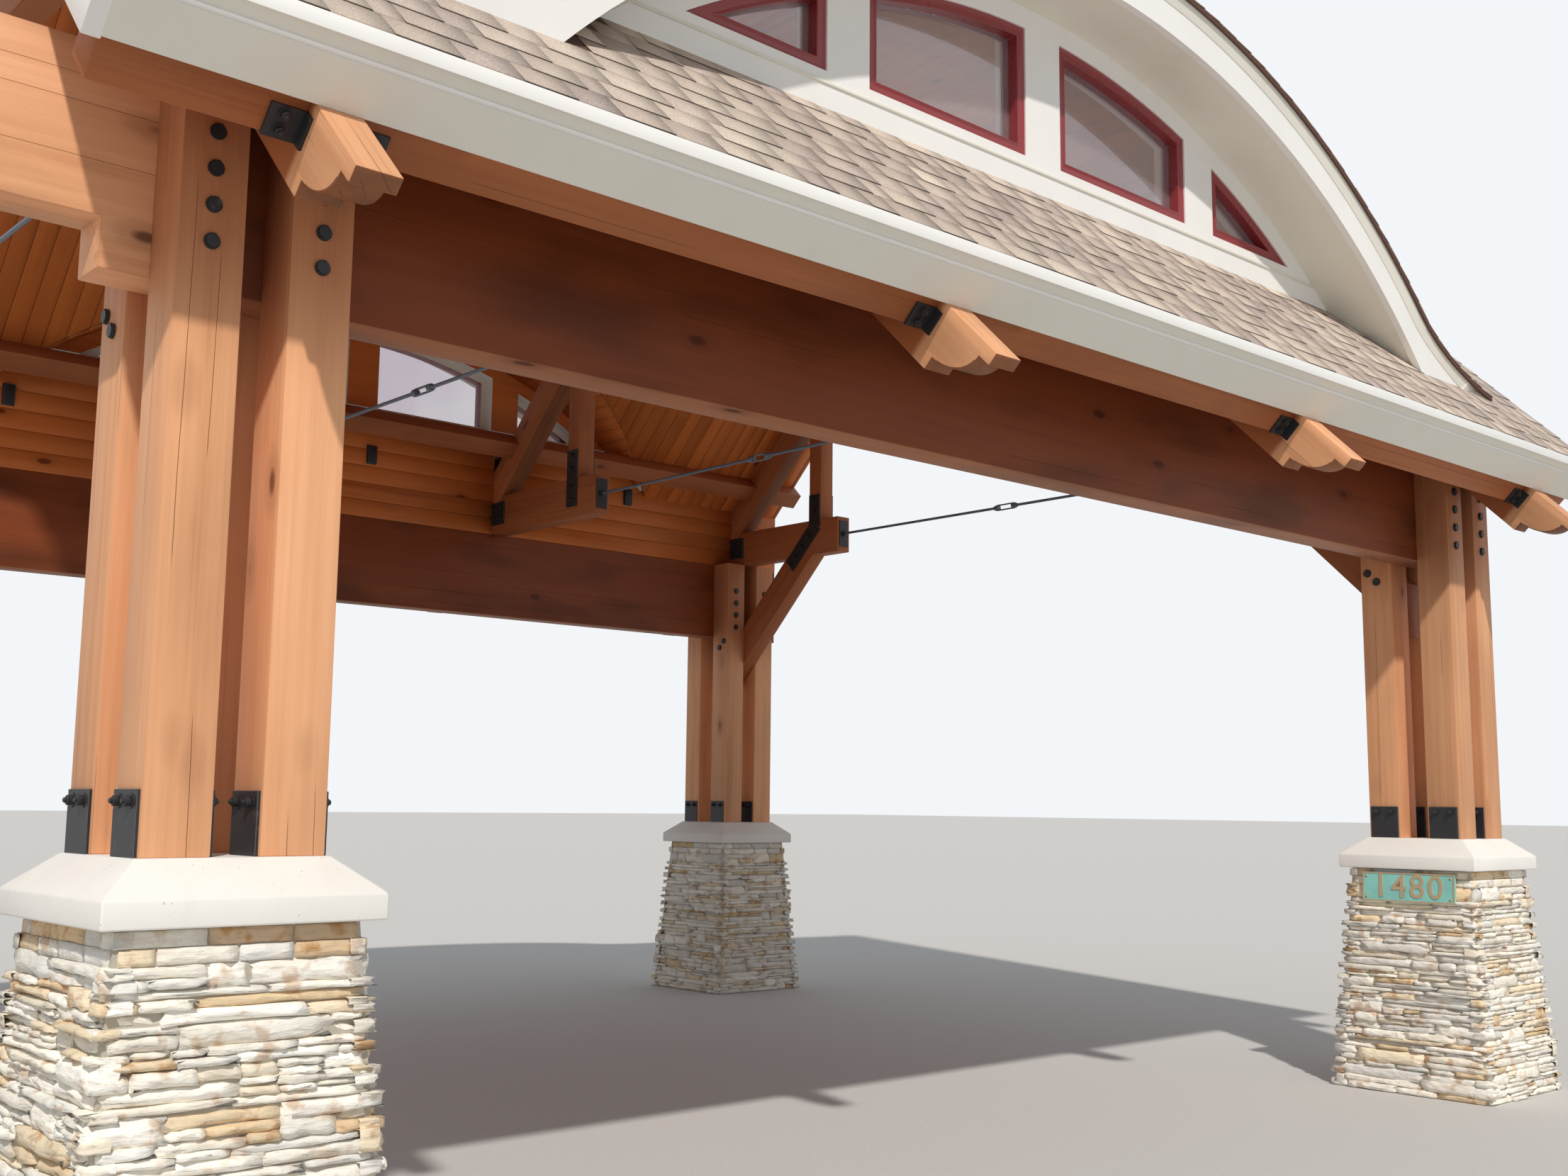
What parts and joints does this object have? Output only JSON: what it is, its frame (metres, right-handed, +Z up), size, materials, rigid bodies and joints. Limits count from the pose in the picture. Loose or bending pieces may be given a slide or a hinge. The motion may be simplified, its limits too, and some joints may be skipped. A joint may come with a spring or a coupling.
{
  "type": "porch_canopy",
  "caption": "Timber porte-cochere on battered stone piers, with hammer-beam trusses, a gabled shingle roof and a wide arched dormer on each slope",
  "frame": {"origin": "middle of the outline, on the ground that the piers stand on", "axes": "+X across the span, towards the side whose pier has the number plate; +Y along the ridge, towards the house wall; +Z up"},
  "size_m": [8.7916, 9.642, 8.0968],
  "materials": {
    "timber": "stained",
    "boards": "stained",
    "stonework": "rough",
    "cast_stone": "smooth",
    "painted_trim": "painted",
    "shingles": "granular",
    "black_steel": "matte",
    "rod_steel": "satin",
    "window_paint": "satin",
    "window_glass": "clear",
    "verdigris": "patina"
  },
  "bodies": {
    "root": {"pier_outer_near": "stonework", "pier_outer_far": "stonework", "pier_inner_near": "stonework", "pier_inner_far": "stonework", "cap_outer_near": "cast_stone", "cap_outer_far": "cast_stone", "cap_inner_near": "cast_stone", "cap_inner_far": "cast_stone", "posts_outer_near": "timber", "posts_outer_far": "timber", "posts_inner_near": "timber", "posts_inner_far": "timber", "post_shoes": "black_steel", "eave_beam_near": "timber", "eave_beam_far": "timber", "principal_rafters": "timber", "hammer_beams": "timber", "hammer_posts": "timber", "knee_braces": "timber", "collars": "timber", "king_posts": "timber", "tie_rods": "rod_steel", "truss_straps": "black_steel", "heel_plates": "black_steel", "eave_purlins": "timber", "upper_purlins": "timber", "ridge_beam": "timber", "purlin_angles": "black_steel", "plank_wall_near": "boards", "plank_wall_far": "boards", "ceiling_near": "boards", "ceiling_far": "boards", "roof_near": "shingles", "roof_far": "shingles", "eave_fascia_near": "painted_trim", "eave_fascia_far": "painted_trim", "rake_boards": "painted_trim", "dormer_roof_near": "shingles", "dormer_roof_far": "shingles", "dormer_wall_near": "painted_trim", "dormer_wall_far": "painted_trim", "dormer_fascias": "painted_trim", "window_frames": "window_paint", "window_glass": "window_glass", "wall_lights": "black_steel", "number_plate": "verdigris"}
  },
  "joints": []
}
